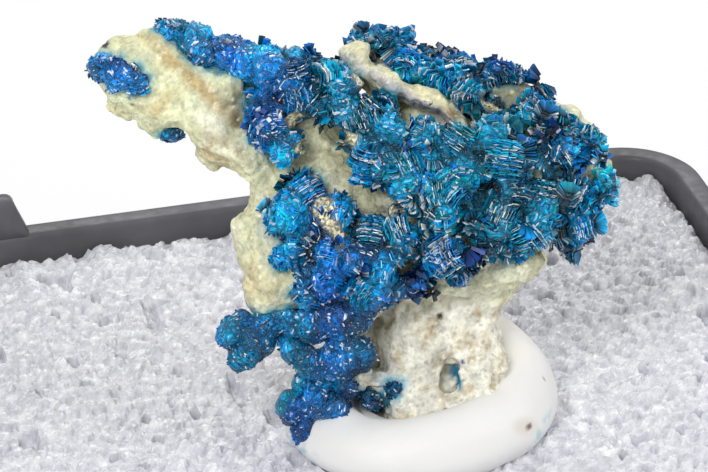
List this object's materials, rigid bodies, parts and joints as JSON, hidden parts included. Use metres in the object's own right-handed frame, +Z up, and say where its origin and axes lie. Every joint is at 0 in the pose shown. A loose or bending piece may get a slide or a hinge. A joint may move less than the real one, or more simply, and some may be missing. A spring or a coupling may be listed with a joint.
{
  "type": "mineral specimen in open box",
  "caption": "Thumbnail veszelyite specimen: blue blade crystals on pale matrix, held by white putty on the foam of an open plastic box base.",
  "frame": {"origin": "middle of the box base's underside", "axes": "+Z up, +X to the right along the box's back edge as seen from the show side, +Y towards the back edge with the hinge ears"},
  "size_m": [0.0334, 0.0334, 0.0242],
  "materials": {
    "box_plastic": "satin",
    "foam": "satin",
    "putty": "matte",
    "matrix_rock": "matte",
    "crystal": "satin"
  },
  "bodies": {
    "root": {"box_base": "box_plastic", "foam_insert": "foam", "putty": "putty", "matrix": "matrix_rock", "crystal_crust": "crystal", "crystal_back_patch": "crystal", "crystal_tip_patch": "crystal", "crystal_arm_lump": "crystal", "crystal_ledge_strip": "crystal", "crystal_foot_cluster": "crystal", "crystal_stem_patch": "crystal"}
  },
  "joints": []
}
